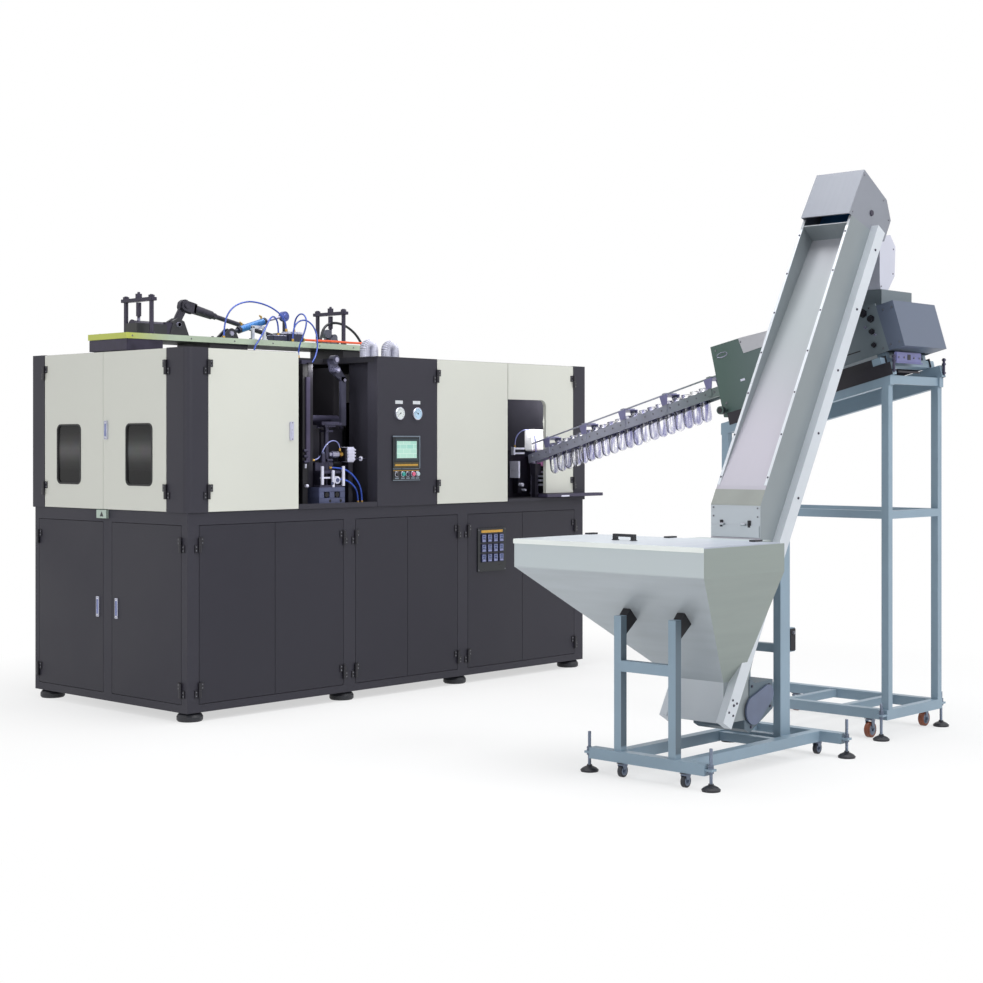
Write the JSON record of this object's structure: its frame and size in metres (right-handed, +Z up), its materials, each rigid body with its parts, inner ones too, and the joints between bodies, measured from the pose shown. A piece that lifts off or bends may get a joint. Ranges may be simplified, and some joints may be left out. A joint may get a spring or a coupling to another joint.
{
  "type": "blow moulding machine",
  "caption": "Cabinet blow moulding machine with hinged doors and roof linkage, fed by a hopper elevator, an inclined roller sorter and a sloping rail of hanging preforms.",
  "frame": {"origin": "middle of the whole line's box, on the floor", "axes": "+X along the cabinet's long front towards the feed end, +Y from the operator's side through the cabinet to its back, +Z up"},
  "size_m": [3.4362, 4.62, 2.872],
  "materials": {
    "dark_paint": "satin",
    "pale_paint": "satin",
    "black_paint": "satin",
    "pane": "gloss",
    "rubber": "matte",
    "button_plastic": "satin",
    "gauge_face": "gloss",
    "mechanism": "satin",
    "roof_plate": "satin",
    "air_blue": "satin",
    "hose": "satin",
    "duct": "satin",
    "clear": "gloss",
    "grey_green_paint": "satin",
    "stainless": "satin",
    "belt_blue": "matte"
  },
  "bodies": {
    "machine": {"lower_cabinet": "dark_paint", "upper_frame": "dark_paint", "rear_cover": "dark_paint", "control_column": "dark_paint", "touch_screen": "black_paint", "gauges": "gauge_face", "blow_unit": "mechanism", "oven_bank": "dark_paint", "top_plate": "roof_plate", "tie_gates": "black_paint", "air_cylinder": "air_blue", "valve_block": "black_paint", "spiral_duct": "duct", "preform_rail": "mechanism", "infeed_unit": "mechanism", "preforms": "clear", "sorter_body": "grey_green_paint", "sorter_motor_box": "dark_paint", "sorter_stand": "grey_green_paint", "conveyor_case": "stainless", "side_rails": "mechanism", "head_hood": "stainless", "belt": "belt_blue", "hopper": "stainless", "drive_guard": "grey_green_paint", "elevator_frame": "grey_green_paint", "castors": "rubber", "levelling_feet": "rubber", "hinge_fixed_leaves": "black_paint", "air_hoses": "hose", "chute": "stainless"},
    "end_door_right": {"end_door_right": "pale_paint", "window_right": "pane"},
    "end_door_left": {"end_door_left": "pale_paint", "window_left": "pane"},
    "front_door_1": {"front_door_1": "pale_paint"},
    "front_door_2": {"front_door_2": "pale_paint"},
    "front_door_3": {"front_door_3": "pale_paint"},
    "lower_front_door_1": {"lower_front_door_1": "dark_paint"},
    "lower_front_door_2": {"lower_front_door_2": "dark_paint"},
    "lower_front_door_3": {"lower_front_door_3": "dark_paint"},
    "lower_front_door_4": {"lower_front_door_4": "dark_paint"},
    "lower_front_door_5": {"lower_front_door_5": "dark_paint", "heater_controllers": "black_paint"},
    "lower_front_door_6": {"lower_front_door_6": "dark_paint"},
    "lower_end_door_right": {"lower_end_door_right": "dark_paint"},
    "lower_end_door_left": {"lower_end_door_left": "dark_paint"},
    "button_start": {"button_start": "button_plastic"},
    "button_auto": {"button_auto": "button_plastic"},
    "button_manual": {"button_manual": "button_plastic"},
    "button_stop": {"button_stop": "button_plastic"},
    "button_reset": {"button_reset": "button_plastic"},
    "hopper_lid": {"hopper_lid": "stainless"},
    "housing_flap": {"housing_flap": "stainless"},
    "bell_crank": {"bell_crank": "black_paint"},
    "push_rod": {"push_rod": "black_paint"},
    "sorter_roller_left": {"sorter_roller_left": "stainless"},
    "sorter_roller_right": {"sorter_roller_right": "stainless"},
    "head_pulley": {"head_pulley": "stainless"},
    "boot_pulley": {"boot_pulley": "stainless"}
  },
  "joints": [
    {"name": "end_door_right_swing", "type": "hinge", "parent": "machine", "child": "end_door_right", "pos_m": [-1.71086, 1.009, 1.5], "axis": [0, 0, 1], "range_deg": [0, 110]},
    {"name": "end_door_left_swing", "type": "hinge", "parent": "machine", "child": "end_door_left", "pos_m": [-1.71086, 2.185, 1.5], "axis": [0, 0, -1], "range_deg": [0, 110]},
    {"name": "front_door_1_swing", "type": "hinge", "parent": "machine", "child": "front_door_1", "pos_m": [-1.56086, 0.821, 1.5], "axis": [0, 0, -1], "range_deg": [0, 110]},
    {"name": "front_door_2_swing", "type": "hinge", "parent": "machine", "child": "front_door_2", "pos_m": [0.18914, 0.821, 1.5], "axis": [0, 0, -1], "range_deg": [0, 100]},
    {"name": "front_door_3_swing", "type": "hinge", "parent": "machine", "child": "front_door_3", "pos_m": [1.47914, 0.821, 1.5], "axis": [0, 0, 1], "range_deg": [0, 110]},
    {"name": "lower_front_door_1_swing", "type": "hinge", "parent": "machine", "child": "lower_front_door_1", "pos_m": [-1.61386, 0.831, 0.6], "axis": [0, 0, -1], "range_deg": [0, 95]},
    {"name": "lower_front_door_2_swing", "type": "hinge", "parent": "machine", "child": "lower_front_door_2", "pos_m": [-0.57086, 0.831, 0.6], "axis": [0, 0, 1], "range_deg": [0, 95]},
    {"name": "lower_front_door_3_swing", "type": "hinge", "parent": "machine", "child": "lower_front_door_3", "pos_m": [-0.47886, 0.831, 0.6], "axis": [0, 0, -1], "range_deg": [0, 95]},
    {"name": "lower_front_door_4_swing", "type": "hinge", "parent": "machine", "child": "lower_front_door_4", "pos_m": [0.38114, 0.831, 0.6], "axis": [0, 0, 1], "range_deg": [0, 95]},
    {"name": "lower_front_door_5_swing", "type": "hinge", "parent": "machine", "child": "lower_front_door_5", "pos_m": [0.47114, 0.831, 0.6], "axis": [0, 0, -1], "range_deg": [0, 95]},
    {"name": "lower_front_door_6_swing", "type": "hinge", "parent": "machine", "child": "lower_front_door_6", "pos_m": [1.50114, 0.831, 0.6], "axis": [0, 0, 1], "range_deg": [0, 95]},
    {"name": "lower_end_door_right_swing", "type": "hinge", "parent": "machine", "child": "lower_end_door_right", "pos_m": [-1.70086, 0.89, 0.6], "axis": [0, 0, 1], "range_deg": [0, 110]},
    {"name": "lower_end_door_left_swing", "type": "hinge", "parent": "machine", "child": "lower_end_door_left", "pos_m": [-1.70086, 2.26, 0.6], "axis": [0, 0, -1], "range_deg": [0, 110]},
    {"name": "button_start_press", "type": "slide", "parent": "machine", "child": "button_start", "axis": [0, 1, 0], "range_m": [0, 0.004], "stiffness_N_per_m": 600},
    {"name": "button_auto_press", "type": "slide", "parent": "machine", "child": "button_auto", "axis": [0, 1, 0], "range_m": [0, 0.004], "stiffness_N_per_m": 600},
    {"name": "button_manual_press", "type": "slide", "parent": "machine", "child": "button_manual", "axis": [0, 1, 0], "range_m": [0, 0.004], "stiffness_N_per_m": 600},
    {"name": "button_stop_press", "type": "slide", "parent": "machine", "child": "button_stop", "axis": [0, 1, 0], "range_m": [0, 0.004], "stiffness_N_per_m": 600},
    {"name": "button_reset_press", "type": "slide", "parent": "machine", "child": "button_reset", "axis": [0, 1, 0], "range_m": [0, 0.004], "stiffness_N_per_m": 600},
    {"name": "lid_lift", "type": "hinge", "parent": "machine", "child": "hopper_lid", "pos_m": [-0.79686, -1.77, 1.053], "axis": [0, 1, 0], "range_deg": [0, 80]},
    {"name": "flap_lift", "type": "hinge", "parent": "machine", "child": "housing_flap", "pos_m": [-0.61486, -1.93, 1.113], "axis": [0, 1, 0], "range_deg": [0, 60]},
    {"name": "crank_rock", "type": "hinge", "parent": "machine", "child": "bell_crank", "pos_m": [-1.20386, 1.6, 2.185], "axis": [0, 1, 0], "range_deg": [-4, 4]},
    {"name": "push_rod_slide", "type": "slide", "parent": "machine", "child": "push_rod", "axis": [0.9772, 0, -0.2121], "range_m": [-0.0095, 0.0095]},
    {"name": "sorter_roller_left_spin", "type": "hinge", "parent": "machine", "child": "sorter_roller_left", "pos_m": [0.73614, -1.55209, 1.98167], "axis": [0, -0.9703, 0.2419], "continuous": true},
    {"name": "sorter_roller_right_spin", "type": "hinge", "parent": "machine", "child": "sorter_roller_right", "pos_m": [0.59014, -1.55209, 1.98167], "axis": [0, -0.9703, 0.2419], "continuous": true},
    {"name": "head_pulley_spin", "type": "hinge", "parent": "machine", "child": "head_pulley", "pos_m": [0.38314, -1.93, 2.659], "axis": [0, 1, 0], "continuous": true},
    {"name": "boot_pulley_spin", "type": "hinge", "parent": "machine", "child": "boot_pulley", "pos_m": [-0.85186, -1.93, 0.33], "axis": [0, 1, 0], "continuous": true}
  ],
  "couplings": [
    {"joint": "push_rod_slide", "follows": "crank_rock", "m_per_rad": 0.12519},
    {"joint": "sorter_roller_right_spin", "follows": "sorter_roller_left_spin", "ratio": -1},
    {"joint": "boot_pulley_spin", "follows": "head_pulley_spin", "ratio": 1}
  ]
}
